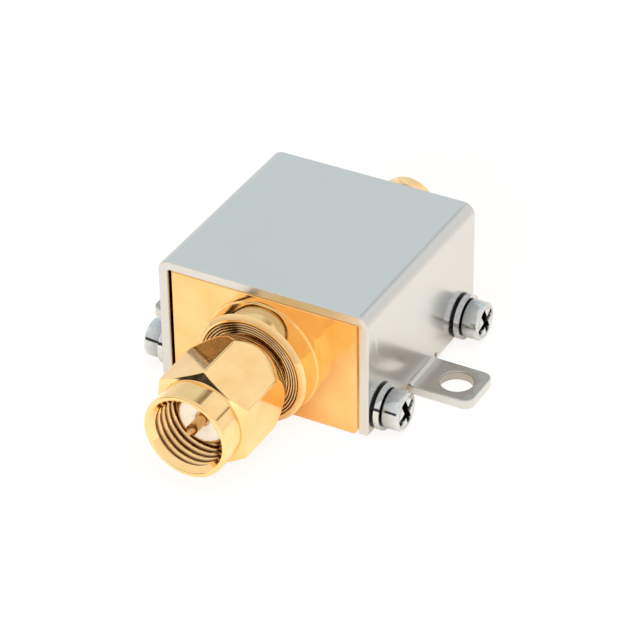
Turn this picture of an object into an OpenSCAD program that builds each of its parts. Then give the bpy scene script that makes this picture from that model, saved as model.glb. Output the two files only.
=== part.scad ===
// In-line LC bandpass filter for coaxial leads: a gold-plated base that holds the filter board,
// a folded sheet cover with two mounting ears, a threaded plug in front and a threaded jack behind.
// Millimetres. The origin is the middle of the base's underside, +Z is up, the plug points to -Y.

/* [Case] */
// Width across the cover's side walls
case_w = 19.05; // [17:0.05:24]
// Length of the cover
case_l = 19.05; // [19:0.05:26]
// Height of the case over the cover
case_h = 11.68; // [11.6:0.01:16]
// Thickness of the cover's sheet
sheet_t = 0.87; // [0.6:0.01:0.95]
// Outer radius of the two long folds of the cover
fold_r = 1.05; // [1:0.05:1.6]
// Gap between the base and the cover
cover_gap = 0.12; // [0.05:0.01:0.2]
// Height of the side walls' lower edge over the underside
skirt_lift = 0.46; // [0.2:0.01:0.7]
// Depth of the base's end faces behind the cover's ends
end_recess = 0.2; // [0.05:0.05:0.4]

/* [Mounting ears] */
// Distance from the side wall to the outer end of its ear
ear_reach = 5.475; // [5:0.025:8]
// Width of an ear
ear_w = 4.5; // [4:0.02:5.4]
// Radius of the ears' outer corners
ear_corner_r = 0.85; // [0.5:0.05:1.8]
// Distance from the outer end of an ear to the middle of its hole
ear_hole_inset = 2.3; // [2:0.05:2.4]
// Diameter of a mounting hole
ear_hole_d = 2.8; // [2.2:0.05:3.1]
// Inner radius of the fold at an ear's root
ear_fold_r = 0.4; // [0.2:0.05:0.5]
// Width of the relief slot beside an ear's root
relief_w = 0.45; // [0.3:0.05:0.7]

/* [Base] */
// Thickness of the base's floor
floor_t = 3.5; // [3.4:0.05:3.7]
// Thickness of the base's end walls
end_wall_t = 2.6; // [2.2:0.05:2.8]
// Radius of the base's long lower edges
base_edge_r = 0.9; // [0.3:0.05:1]
// Bevel round the base's end faces
face_bevel = 0.14; // [0.05:0.01:0.25]
// Depth of the ledges that carry the board
ledge_d = 1.2; // [0.8:0.05:1.6]
// Height of the connectors' common axis over the middle of the end faces
axis_rise = -0.14; // [-0.18:0.01:0.1]

/* [Plug body] */
// Diameter of the round shoulder on the front face
shoulder_d = 10; // [9:0.05:10.2]
// Length of the round shoulder
shoulder_l = 2.475; // [2:0.025:2.6]
// Bevel at the shoulder's front edge
shoulder_bevel = 0.35; // [0.1:0.05:0.5]
// Diameter of the thin ring at the shoulder's root
root_ring_d = 10.3; // [10.1:0.05:10.4]
// Thickness of the thin ring at the shoulder's root
root_ring_t = 0.35; // [0.2:0.05:0.6]
// Diameter of the neck that the coupling nut turns on
neck_d = 5.6; // [5.4:0.05:5.8]
// Diameter of the shanks pressed into the end walls
shank_d = 5.2; // [4.8:0.05:5.4]
// Outer diameter of the plug's contact sleeve
sleeve_d = 4.57; // [4.5:0.01:4.6]
// Diameter of the insulators
insulator_d = 4.1; // [3.9:0.05:4.15]
// Distance from the front face to the plug's contact plane
plug_plane = 9.83; // [9.6:0.01:10]
// Diameter of the plug's pin at its tip
pin_d = 0.914; // [0.8:0.001:0.95]
// Length of the pin in front of the contact plane
pin_reach = 2.25; // [1.9:0.05:2.4]
// Diameter of the centre conductors inside the insulators
core_d = 1.27; // [1.2:0.01:1.4]
// Diameter of the centre conductors' tails on the board
tail_d = 0.8; // [0.6:0.05:0.9]
// Length of the centre conductors' tails
tail_l = 1.1; // [0.9:0.05:1.3]

/* [Coupling nut] */
// Width of the nut across its flats
nut_af = 8; // [7.8:0.05:8.5]
// Distance from the front face to the nut's rear end
nut_rear = 2.98; // [2.85:0.01:3.1]
// Length of the nut
nut_l = 9.6; // [9.4:0.05:10]
// Diameter of the nut's round collar and rear end
collar_d = 7.42; // [7.2:0.01:7.6]
// Length of the round collar at the nut's mouth
collar_l = 2.43; // [2:0.01:2.8]
// Length of the cone at the nut's rear
rear_cone_l = 2.4; // [1.8:0.05:2.8]
// Length of the bevel between the hexagon and the collar
front_cone_l = 0.48; // [0.3:0.01:0.6]
// Rounding of the nut's mouth
lip_r = 0.18; // [0.05:0.01:0.25]
// Diameter of the wide end of the mouth's lead-in
mouth_d = 6.7; // [6.4:0.05:6.9]
// Length of the lead-in at the nut's mouth
lead_in_l = 1.1; // [0.5:0.05:1.2]
// Diameter over the crests of the nut's inner thread
nut_thread_d = 5.8; // [5.7:0.01:5.85]
// Length of the nut's inner thread
nut_thread_l = 4.2; // [3.8:0.05:4.4]
// Diameter of the relief behind the nut's thread
nut_relief_d = 6.5; // [6.3:0.05:6.6]
// Length of the rear lip that turns on the neck
nut_lip_l = 2; // [1.8:0.05:2.2]
// Clearance on radius between the nut and the neck
run_gap = 0.06; // [0.04:0.01:0.1]
// Turn of the hexagon about its axis in degrees
nut_clock = 26.5; // [0:0.5:59.5]

/* [Retaining ring] */
// Width of the spring ring that holds the nut
ring_w = 0.4; // [0.3:0.05:0.5]
// Radial depth of the spring ring
ring_depth = 0.6; // [0.5:0.05:0.65]
// Gap between the spring ring's ends
ring_split = 1.2; // [0.8:0.1:1.6]
// Free play round the spring ring
ring_gap = 0.08; // [0.05:0.01:0.12]

/* [Jack] */
// Diameter over the jack's outer thread
jack_thread_d = 6.35; // [6.2:0.01:6.4]
// Distance from the rear face to the jack's mouth
jack_l = 7; // [6.6:0.05:8]
// Diameter of the jack's shoulder
jack_shoulder_d = 8; // [7.4:0.1:9]
// Length of the jack's shoulder
jack_shoulder_l = 1; // [0.6:0.05:1.3]
// Diameter of the plain nose and of the neck behind the thread
jack_nose_d = 5.3; // [5.2:0.01:5.5]
// Length of the plain nose
jack_nose_l = 1.4; // [0.4:0.05:1.6]
// Length of the neck behind the thread
jack_neck_l = 0.6; // [0.4:0.05:0.8]
// Diameter of the jack's mouth
jack_mouth_d = 4.62; // [4.58:0.01:4.7]
// Depth of the jack's contact plane behind its mouth
jack_plane_depth = 1.95; // [1.9:0.01:2.1]
// Bore of the jack's socket contact
socket_bore_d = 0.94; // [0.93:0.01:1]
// Depth of the socket contact's bore
socket_depth = 3.2; // [2.8:0.05:3.6]
// Width of the slots in the socket contact
socket_slot = 0.16; // [0.1:0.01:0.2]

/* [Side screws] */
// Diameter of the screws
screw_d = 2; // [1.8:0.05:2.2]
// Distance of the screws from the cover's ends
screw_inset = 2.325; // [2.1:0.025:2.5]
// Height of the screws over the underside
screw_z = 2.05; // [2:0.01:2.15]
// Depth of the screws in the base
screw_grip = 3.4; // [2.5:0.1:4]
// Diameter of the screw heads
head_d = 3.3; // [3.1:0.05:3.8]
// Height of the screw heads
head_h = 1.6; // [1.1:0.05:1.8]
// Outer diameter of a flat washer
washer_d = 3.8; // [3.6:0.05:3.95]
// Thickness of a flat washer
washer_t = 0.2; // [0.15:0.05:0.6]
// Outer diameter of a spring washer
lock_d = 3.9; // [3.5:0.05:3.95]
// Thickness of a spring washer
lock_t = 0.5; // [0.4:0.05:0.7]
// Radial clearance of the screws in the cover and the washers
screw_gap = 0.12; // [0.08:0.01:0.2]

/* [Board] */
// Thickness of the circuit board
board_t = 0.8; // [0.7:0.05:0.85]
// Gap between the board and the case's walls
board_gap = 0.2; // [0.1:0.05:0.3]
// Height of the centre conductors' tails over the board
tail_lift = 0.05; // [0.03:0.01:0.1]
// Diameter of the coils' wire
wire_d = 0.4; // [0.3:0.05:0.45]
// Mean diameter of the coils
coil_d = 2.3; // [1.8:0.05:2.5]
// Distance between the turns of a coil
coil_pitch = 0.56; // [0.5:0.01:0.6]
// Number of turns of a coil to ground
shunt_turns = 5; // [3:1:6]
// Number of turns of a coil in the signal path
series_turns = 3; // [2:1:3]
// Length of the coils' ends on the board
coil_lead = 0.4; // [0.3:0.05:0.5]
// Least distance between the pieces on the board, and to its edges
part_gap = 0.2; // [0.15:0.01:0.25]
// Length of a chip capacitor
chip_l = 2; // [1.6:0.1:2.2]
// Width of a chip capacitor
chip_w = 1.2; // [0.8:0.1:1.3]
// Height of a chip capacitor
chip_h = 0.8; // [0.5:0.1:1]

/* [Hidden] */

// Play left round pieces that are pressed together
seat_gap = 0.01;
// Overlap of the cutting tools beyond the face that they cut
cut = 1;

// Base
base_w = case_w - 2 * (sheet_t + cover_gap);
base_top = case_h - sheet_t - cover_gap;
base_top_r = fold_r - sheet_t;
axis_h = base_top / 2 + axis_rise;
base_l = case_l - 2 * end_recess;
cavity_l = base_l - 2 * end_wall_t;

// Mounting ears
wall_x = case_w / 2;
ear_x = wall_x + ear_reach;
ear_hole_x = ear_x - ear_hole_inset;
relief_top = sheet_t;

// Board and what lies on it
board_w = base_w - 2 * board_gap;
board_l = cavity_l - 2 * board_gap;
board_top = axis_h - tail_d / 2 - tail_lift;
board_z = board_top - board_t;
coil_z = board_top + (coil_d + wire_d) / 2;
coil_w = coil_d + wire_d;
series_coil_l = series_turns * coil_pitch + 2 * coil_lead;
stage_y = board_l / 2 - part_gap - coil_w / 2;
series_chip_y = cavity_l / 2 - tail_l - part_gap - chip_l / 2;
series_coil_y = (series_chip_y - chip_l / 2 - part_gap) - series_coil_l / 2;
shunt_x = board_w / 4;

// Plug and nut
neck_end = nut_rear + nut_lip_l + 2 * ring_gap + ring_w + 0.7;
ring_z = nut_rear + nut_lip_l + ring_gap;
ring_outer_r = nut_relief_d / 2 - ring_gap;
ring_inner_r = ring_outer_r - ring_depth;
hex_r = nut_af / 2 / cos(30);
nut_front = nut_rear + nut_l;
hex_front = nut_front - collar_l - front_cone_l;
plug_pin_end = plug_plane + pin_reach;

// Jack
jack_plane = jack_l - jack_plane_depth;
jack_thread_start = jack_shoulder_l + jack_neck_l;
jack_thread_end = jack_l - jack_nose_l;
thread_bevel = (jack_thread_d - jack_nose_d) / 2;

// Screws
screw_y = case_l / 2 - screw_inset;
washer_x = wall_x;
lock_x = washer_x + washer_t;
head_x = lock_x + lock_t;
screw_end_x = base_w / 2 - screw_grip;

// Places a part that is built along +Z from z = 0 on the base's front face
module on_front() {
    translate([0, -base_l / 2, axis_h]) rotate([90, 0, 0]) children();
}

// Places a part that is built along +Z from z = 0 on the base's rear face
module on_rear() {
    translate([0, base_l / 2, axis_h]) rotate([-90, 0, 0]) children();
}

// Places a part that is built along +Z at one of the four side screws
module at_screw(side, end) {
    translate([0, end * screw_y, screw_z]) rotate([0, side * 90, 0]) children();
}

// A turned solid from its half section, as points of radius and height
module turned(section) {
    rotate_extrude($fn = 96) polygon(section);
}

module tube(r_out, r_in, z0, z1) {
    turned([[r_in, z0], [r_out, z0], [r_out, z1], [r_in, z1]]);
}

// Outline between two heights with rounded upper corners
module round_topped(w, z0, z1, r) {
    for (side = [-1, 1]) translate([side * (w / 2 - r), z1 - r]) circle(r = r, $fn = 64);
    translate([-w / 2 + r, z0]) square([w - 2 * r, z1 - z0]);
    translate([-w / 2, z0]) square([w, z1 - z0 - r]);
}

// Base: floor, two end walls, ledges for the board, pressed bores and tapped side holes
module base() {
    color("#e6b75c") difference() {
        base_block();
        translate([-base_w / 2 - cut, -cavity_l / 2, board_z])
            cube([base_w + 2 * cut, cavity_l, base_top - board_z + cut]);
        translate([-base_w / 2 - cut, -cavity_l / 2 + ledge_d, floor_t])
            cube([base_w + 2 * cut, cavity_l - 2 * ledge_d, board_top - floor_t]);
        translate([0, -base_l / 2 - cut, axis_h]) rotate([-90, 0, 0])
            cylinder(h = base_l + 2 * cut, d = shank_d + 2 * seat_gap, $fn = 64);
        for (side = [-1, 1], end = [-1, 1]) at_screw(side, end)
            translate([0, 0, screw_end_x - 0.3])
                cylinder(h = base_w, d = screw_d + 2 * seat_gap, $fn = 32);
    }
}

// The base's outer block with bevelled end faces
module base_block() {
    bevel = face_bevel * sqrt(2);
    difference() {
        rotate([90, 0, 0]) linear_extrude(height = base_l, center = true) intersection() {
            round_topped(base_w, 0, base_top, base_top_r);
            translate([0, base_top]) mirror([0, 1]) round_topped(base_w, 0, base_top, base_edge_r);
        }
        for (end = [-1, 1]) translate([0, end * base_l / 2, 0]) {
            for (side = [-1, 1]) translate([side * base_w / 2, 0, 0]) rotate([0, 0, 45])
                cube([bevel, bevel, 4 * case_h], center = true);
            for (z = [0, base_top]) translate([0, 0, z]) rotate([45, 0, 0])
                cube([2 * case_w, bevel, bevel], center = true);
        }
    }
}

// Cover: one folded sheet with a top, two side walls and a bent ear on each wall
module cover() {
    color("#c9cdcf") difference() {
        union() {
            rotate([90, 0, 0]) linear_extrude(height = case_l, center = true) cover_section();
            for (side = [-1, 1]) mirror([side < 0 ? 1 : 0, 0, 0]) ear();
        }
        for (side = [-1, 1]) mirror([side < 0 ? 1 : 0, 0, 0]) ear_reliefs();
        for (side = [-1, 1], end = [-1, 1]) at_screw(side, end)
            translate([0, 0, wall_x - 2 * sheet_t])
                cylinder(h = 4 * sheet_t, d = screw_d + 2 * screw_gap, $fn = 32);
    }
}

// Section of the folded sheet across the case
module cover_section() {
    difference() {
        round_topped(case_w, skirt_lift, case_h, fold_r);
        round_topped(case_w - 2 * sheet_t, skirt_lift - cut, case_h - sheet_t, fold_r - sheet_t);
    }
}

// Ear on the +X side: a strip that comes down from the wall and folds outwards
module ear() {
    fold_out_r = ear_fold_r + sheet_t;
    fold_x = wall_x + ear_fold_r;
    rotate([90, 0, 0]) linear_extrude(height = ear_w, center = true) {
        translate([wall_x - sheet_t, fold_out_r]) square([sheet_t, relief_top]);
        difference() {
            translate([fold_x, fold_out_r]) circle(r = fold_out_r, $fn = 64);
            translate([fold_x, fold_out_r]) circle(r = ear_fold_r, $fn = 64);
            translate([fold_x, -cut]) square([2 * fold_out_r, 4 * fold_out_r]);
            translate([fold_x - 2 * fold_out_r, fold_out_r]) square([4 * fold_out_r, 2 * fold_out_r]);
        }
    }
    difference() {
        linear_extrude(height = sheet_t) ear_outline(fold_x);
        translate([ear_hole_x, 0, -cut]) cylinder(h = 4 * sheet_t, d = ear_hole_d, $fn = 48);
    }
}

// Plan of the flat part of an ear with rounded outer corners
module ear_outline(x0) {
    translate([x0, -ear_w / 2]) square([ear_x - ear_corner_r - x0, ear_w]);
    translate([x0, -ear_w / 2 + ear_corner_r]) square([ear_x - x0, ear_w - 2 * ear_corner_r]);
    for (end = [-1, 1]) translate([ear_x - ear_corner_r, end * (ear_w / 2 - ear_corner_r)])
        circle(r = ear_corner_r, $fn = 48);
}

// Round-ended slots beside an ear's root, open at the wall's lower edge
module ear_reliefs() {
    for (end = [-1, 1]) translate([wall_x - sheet_t / 2, end * (ear_w + relief_w) / 2, 0]) {
        translate([0, 0, relief_top / 2]) cube([2 * sheet_t, relief_w, relief_top], center = true);
        translate([0, 0, relief_top]) rotate([0, 90, 0])
            cylinder(h = 2 * sheet_t, d = relief_w, center = true, $fn = 32);
    }
}

// Pan head screw with a cross recess, lying along its own axis from the middle of the case
module side_screw(side, end) {
    round_r = 0.35;
    head_r = head_d / 2;
    recess_d = 0.8;
    recess_l = 2.1;
    recess_w = 0.42;
    top = head_x + head_h;
    color("#d4d8d6") at_screw(side, end) difference() {
        union() {
            translate([0, 0, screw_end_x]) cylinder(h = head_x - screw_end_x, d = screw_d, $fn = 32);
            turned(concat([[0, head_x], [head_r, head_x]],
                [for (a = [0 : 15 : 90])
                    [head_r - round_r + round_r * cos(a), top - round_r + round_r * sin(a)]],
                [[0, top]]));
        }
        for (turn = [25, 115]) rotate([0, 0, turn]) translate([0, 0, top])
            cube([recess_l, recess_w, 2 * recess_d], center = true);
    }
}

// Split spring washer with a slanted cut
module lock_washer(side, end) {
    lock_split = 0.25;
    lock_slant = 35;
    color("#b9bfbd") at_screw(side, end) difference() {
        tube(lock_d / 2, screw_d / 2 + screw_gap, lock_x, head_x);
        translate([(lock_d + screw_d) / 4, 0, (lock_x + head_x) / 2]) rotate([lock_slant, 0, 0])
            cube([lock_d / 2, lock_split, 4 * lock_t], center = true);
    }
}

module flat_washer(side, end) {
    color("#c4c9c7") at_screw(side, end)
        tube(washer_d / 2, screw_d / 2 + screw_gap, washer_x, lock_x);
}

// Plug body: pressed shank, round shoulder, neck with a ring groove and contact sleeve
module plug_body() {
    shoulder_r = shoulder_d / 2;
    neck_r = neck_d / 2;
    groove_r = ring_inner_r - ring_gap;
    bore_r = insulator_d / 2 + seat_gap;
    neck_bevel = 0.15;
    sleeve_bevel = 0.06;
    color("#ecc06a") on_front() turned([
        [bore_r, -end_wall_t], [shank_d / 2, -end_wall_t], [shank_d / 2, 0],
        [root_ring_d / 2, 0], [root_ring_d / 2, root_ring_t], [shoulder_r, root_ring_t],
        [shoulder_r, shoulder_l - shoulder_bevel], [shoulder_r - shoulder_bevel, shoulder_l],
        [neck_r, shoulder_l], [neck_r, ring_z - ring_gap], [groove_r, ring_z - ring_gap],
        [groove_r, ring_z + ring_w + ring_gap], [neck_r, ring_z + ring_w + ring_gap],
        [neck_r, neck_end - neck_bevel], [neck_r - neck_bevel, neck_end], [sleeve_d / 2, neck_end],
        [sleeve_d / 2, plug_plane - sleeve_bevel], [sleeve_d / 2 - sleeve_bevel, plug_plane],
        [bore_r, plug_plane]]);
}

// Coupling nut: a hexagon between a long rear cone and a round collar, bored and relieved inside
module coupling_nut() {
    collar_r = collar_d / 2;
    relief_r = nut_relief_d / 2;
    lip_bore_r = neck_d / 2 + run_gap;
    thread_end = nut_front - lead_in_l;
    thread_start = thread_end - nut_thread_l;
    color("#f0c674") on_front() difference() {
        intersection() {
            turned(concat([[0, nut_rear], [collar_r - lip_r, nut_rear], [collar_r, nut_rear + lip_r],
                [hex_r, nut_rear + rear_cone_l], [hex_r, hex_front],
                [collar_r, hex_front + front_cone_l]],
                [for (a = [0 : 15 : 90])
                    [collar_r - lip_r + lip_r * cos(a), nut_front - lip_r + lip_r * sin(a)]],
                [[0, nut_front]]));
            translate([0, 0, nut_rear - cut]) rotate([0, 0, nut_clock])
                cylinder(h = nut_l + 2 * cut, r = hex_r, $fn = 6);
        }
        turned([[0, nut_rear - cut], [lip_bore_r, nut_rear - cut], [lip_bore_r, nut_rear + nut_lip_l],
            [relief_r, nut_rear + nut_lip_l], [relief_r, thread_start],
            [nut_thread_d / 2, thread_start], [nut_thread_d / 2, thread_end],
            [mouth_d / 2, nut_front], [mouth_d / 2, nut_front + cut], [0, nut_front + cut]]);
    }
}

// Open spring ring between the neck's groove and the nut's relief
module nut_retaining_ring() {
    color("#b08d57") on_front() difference() {
        tube(ring_outer_r, ring_inner_r, ring_z, ring_z + ring_w);
        translate([0, -ring_split / 2, ring_z - cut])
            cube([2 * ring_outer_r, ring_split, ring_w + 2 * cut]);
    }
}

module plug_insulator() {
    color("#f4efe6") on_front()
        tube(insulator_d / 2, core_d / 2 + seat_gap, -end_wall_t, plug_plane);
}

// Centre pin: tip, core in the insulator and a thinner tail on the board
module plug_center_pin() {
    tip_r = pin_d / 2;
    tip_cone = 0.5;
    flat_r = 0.16;
    color("#e9c070") on_front() turned([
        [0, -end_wall_t - tail_l], [tail_d / 2, -end_wall_t - tail_l], [tail_d / 2, -end_wall_t],
        [core_d / 2, -end_wall_t], [core_d / 2, plug_plane], [tip_r, plug_plane],
        [tip_r, plug_pin_end - tip_cone], [flat_r, plug_pin_end], [0, plug_pin_end]]);
}

// Jack body: pressed shank, shoulder, neck, threaded barrel and plain nose round an open mouth
module jack_body() {
    bore_r = insulator_d / 2 + seat_gap;
    thread_r = jack_thread_d / 2;
    nose_r = jack_nose_d / 2;
    shoulder_r = jack_shoulder_d / 2;
    edge = 0.15;
    color("#ecc06a") on_rear() turned([
        [bore_r, -end_wall_t], [shank_d / 2, -end_wall_t], [shank_d / 2, 0],
        [shoulder_r, 0], [shoulder_r, jack_shoulder_l - edge], [shoulder_r - edge, jack_shoulder_l],
        [nose_r, jack_shoulder_l], [nose_r, jack_thread_start], [thread_r - edge, jack_thread_start],
        [thread_r, jack_thread_start + edge], [thread_r, jack_thread_end - thread_bevel],
        [nose_r, jack_thread_end], [nose_r, jack_l - edge], [nose_r - edge, jack_l],
        [jack_mouth_d / 2, jack_l], [jack_mouth_d / 2, jack_plane], [bore_r, jack_plane]]);
}

module jack_insulator() {
    color("#f4efe6") on_rear()
        tube(insulator_d / 2, core_d / 2 + seat_gap, -end_wall_t, jack_plane);
}

// Socket contact: a bored core with four spring fingers and a tail on the board
module jack_center_contact() {
    lead_in = 0.1;
    slot_l = 0.75 * socket_depth;
    color("#e9c070") on_rear() difference() {
        turned([
            [0, -end_wall_t - tail_l], [tail_d / 2, -end_wall_t - tail_l], [tail_d / 2, -end_wall_t],
            [core_d / 2, -end_wall_t], [core_d / 2, jack_plane],
            [socket_bore_d / 2 + lead_in, jack_plane], [socket_bore_d / 2, jack_plane - lead_in],
            [socket_bore_d / 2, jack_plane - socket_depth], [0, jack_plane - socket_depth]]);
        for (turn = [45, 135]) rotate([0, 0, turn])
            translate([0, 0, jack_plane - slot_l / 2 + cut / 2])
                cube([2 * core_d, socket_slot, slot_l + cut], center = true);
    }
}

module circuit_board() {
    color("#3f6b4a") translate([-board_w / 2, -board_l / 2, board_z]) cube([board_w, board_l, board_t]);
}

// Points along a coil that lies on the board along X, its ends straight on the board
function coil_path(turns, steps = 16) =
    let (half = turns * coil_pitch / 2, r = coil_d / 2)
    concat(
        [[-half - coil_lead, 0, -r]],
        [for (i = [0 : turns * steps])
            let (a = 360 * i / steps - 90)
            [-half + coil_pitch * i / steps, r * cos(a), r * sin(a)]],
        [[half + coil_lead, 0, -r]]);

// Radial direction of each point of the coil, straight down at its two ends
function coil_radials(turns, steps = 16) =
    concat([[0, 0, -1]],
        [for (i = [0 : turns * steps]) let (a = 360 * i / steps - 90) [0, cos(a), sin(a)]],
        [[0, 0, -1]]);

function unit(v) = v / norm(v);

// Round wire swept along a path, with one ring of points at each point of the path
module wire(path, radials, sides = 8) {
    last = len(path) - 1;
    rings = [for (i = [0 : last])
        let (
            along = unit(path[min(i + 1, last)] - path[max(i - 1, 0)]),
            out = unit(radials[i] - (radials[i] * along) * along),
            across = cross(along, out))
        for (k = [0 : sides - 1])
            path[i] + wire_d / 2 * (cos(360 * k / sides) * out + sin(360 * k / sides) * across)];
    polyhedron(rings, concat(
        [[for (k = [0 : sides - 1]) k]],
        [[for (k = [sides - 1 : -1 : 0]) last * sides + k]],
        [for (i = [0 : last - 1], k = [0 : sides - 1])
            let (n = (k + 1) % sides)
            [i * sides + k, (i + 1) * sides + k, (i + 1) * sides + n, i * sides + n]]));
}

// Air-wound coil that lies on the board along X
module coil(turns) {
    color("#b5592d") wire(coil_path(turns), coil_radials(turns));
}

// Coil to ground on the board's left half
module shunt_coil(y) {
    translate([-shunt_x, y, coil_z]) coil(shunt_turns);
}

// Coil in the signal path along the board's middle line
module series_coil(end) {
    translate([0, end * series_coil_y, coil_z]) rotate([0, 0, 90]) coil(series_turns);
}

// Chip capacitor with slightly thicker end caps, its length along X before the turn
module chip(x, y, turn) {
    cap_l = 0.35;
    cap_rise = 0.03;
    color("#a98a68") translate([x, y, board_top]) rotate([0, 0, turn]) {
        translate([-chip_l / 2, -chip_w / 2, cap_rise]) cube([chip_l, chip_w, chip_h - 2 * cap_rise]);
        for (end = [-1, 1]) translate([end * (chip_l - cap_l) / 2, 0, chip_h / 2])
            cube([cap_l, chip_w + 2 * cap_rise, chip_h], center = true);
    }
}

// Solder that holds a centre conductor's tail on the board
module solder_joint(end) {
    wall_gap = 0.25;
    joint_l = tail_l - wall_gap;
    foot_w = tail_d + 0.9;
    crest_w = tail_d + 0.3;
    joint_h = axis_h + 0.3 * tail_d - board_top;
    color("#b7bab8") difference() {
        translate([0, end * (cavity_l / 2 - wall_gap - joint_l / 2), board_top]) rotate([90, 0, 0])
            linear_extrude(height = joint_l, center = true) polygon([
                [-foot_w / 2, 0], [foot_w / 2, 0], [crest_w / 2, joint_h], [-crest_w / 2, joint_h]]);
        translate([0, 0, axis_h]) rotate([90, 0, 0])
            cylinder(h = base_l, d = tail_d + 2 * seat_gap, center = true, $fn = 32);
    }
}

base();
cover();
side_screw(-1, -1);  // screw_left_front
side_screw(-1, 1);  // screw_left_rear
side_screw(1, -1);  // screw_right_front
side_screw(1, 1);  // screw_right_rear
lock_washer(-1, -1);  // lock_washer_left_front
lock_washer(-1, 1);  // lock_washer_left_rear
lock_washer(1, -1);  // lock_washer_right_front
lock_washer(1, 1);  // lock_washer_right_rear
flat_washer(-1, -1);  // flat_washer_left_front
flat_washer(-1, 1);  // flat_washer_left_rear
flat_washer(1, -1);  // flat_washer_right_front
flat_washer(1, 1);  // flat_washer_right_rear
plug_body();
coupling_nut();
nut_retaining_ring();
plug_insulator();
plug_center_pin();
jack_body();
jack_insulator();
jack_center_contact();
circuit_board();
shunt_coil(-stage_y);  // input_coil
shunt_coil(0);  // middle_coil
shunt_coil(stage_y);  // output_coil
series_coil(-1);  // input_series_coil
series_coil(1);  // output_series_coil
chip(shunt_x, -stage_y, 0);  // input_capacitor
chip(shunt_x, 0, 0);  // middle_capacitor
chip(shunt_x, stage_y, 0);  // output_capacitor
chip(0, -series_chip_y, 90);  // input_series_capacitor
chip(0, series_chip_y, 90);  // output_series_capacitor
solder_joint(-1);  // input_solder_joint
solder_joint(1);  // output_solder_joint
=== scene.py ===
"""Looks of an in-line coaxial filter: gold-plated plug, base and jack under a folded nickel cover."""

import math

import bmesh
import bpy
from mathutils import Matrix, Vector


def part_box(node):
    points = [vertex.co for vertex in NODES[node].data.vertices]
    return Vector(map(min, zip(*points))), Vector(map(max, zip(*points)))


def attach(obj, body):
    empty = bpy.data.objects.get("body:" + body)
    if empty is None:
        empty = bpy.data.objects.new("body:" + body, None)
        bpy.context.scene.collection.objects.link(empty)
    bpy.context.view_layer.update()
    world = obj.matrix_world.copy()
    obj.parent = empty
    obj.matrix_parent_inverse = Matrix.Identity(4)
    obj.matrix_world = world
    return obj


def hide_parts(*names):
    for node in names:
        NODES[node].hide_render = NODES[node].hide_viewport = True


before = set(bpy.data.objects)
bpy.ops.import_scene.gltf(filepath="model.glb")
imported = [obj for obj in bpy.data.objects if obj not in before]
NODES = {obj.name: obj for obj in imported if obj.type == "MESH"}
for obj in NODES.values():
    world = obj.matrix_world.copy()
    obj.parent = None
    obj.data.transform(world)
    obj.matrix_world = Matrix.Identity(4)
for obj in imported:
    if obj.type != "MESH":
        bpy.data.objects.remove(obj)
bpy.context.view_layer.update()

bl_info = {
    "name": "In-line Filter Dressing",
    "version": (1, 0, 0),
    "blender": (4, 5, 0),
    "location": "View3D > Sidebar > Filter",
    "description": "Builds the visible pieces, finishes and studio of an in-line coaxial filter",
    "category": "Object",
}

MM = 0.001
CASE_BODY = "filter_case"
NUT_BODY = "coupling_nut"
SIDES = {"left": -1, "right": 1}
ENDS = {"front": -1, "rear": 1}

# Places that follow from the frame
HALF_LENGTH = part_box("base")[1].y
COVER_HALF_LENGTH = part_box("cover")[1].y
AXIS_HEIGHT = (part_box("plug_body")[0].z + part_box("plug_body")[1].z) / 2
CASE_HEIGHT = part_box("cover")[1].z
EAR_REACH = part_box("cover")[1].x


def distance(name, description, default_mm):
    """A length property that is given in millimetres and kept in metres."""
    return bpy.props.FloatProperty(
        name=name, description=description, default=default_mm * MM, min=0, precision=5, unit="LENGTH")


def colour(name, description, hex_colour):
    """A colour property from its sRGB hex value."""
    return bpy.props.FloatVectorProperty(
        name=name, description=description, default=linear(hex_colour), min=0, max=1, size=3, subtype="COLOR")


def linear(hex_colour):
    """Linear colour of an sRGB hex value such as #FFD591."""
    parts = [int(hex_colour[i:i + 2], 16) / 255 for i in (1, 3, 5)]
    return tuple(c / 12.92 if c <= 0.04045 else ((c + 0.055) / 1.055) ** 2.4 for c in parts)


class FilterCoverSizes(bpy.types.PropertyGroup):
    """The folded sheet"""
    sheet: distance("Sheet", "Thickness of the sheet", 0.87)
    fold: distance("Fold", "Outer radius of the two long folds", 1.05)
    ear_fold: distance("Ear fold", "Inner radius of the fold at an ear's root", 0.4)
    ear_width: distance("Ear width", "Width of an ear", 4.5)
    ear_corner: distance("Ear corner", "Radius of an ear's outer corners", 0.85)
    ear_hole: distance("Ear hole", "Diameter of a mounting hole", 2.8)
    hole_inset: distance("Hole inset", "From an ear's outer end to its hole's middle", 2.3)
    wall_reach: distance("Wall reach", "From the case's middle to the outside of a side wall", 9.525)
    skirt: distance("Skirt", "Height of the side walls' lower edge", 0.46)
    relief: distance("Relief", "Width of the slot beside an ear's root", 0.45)
    edge: distance("Edge", "Rounding of the sheet's cut edges", 0.12)


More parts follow.
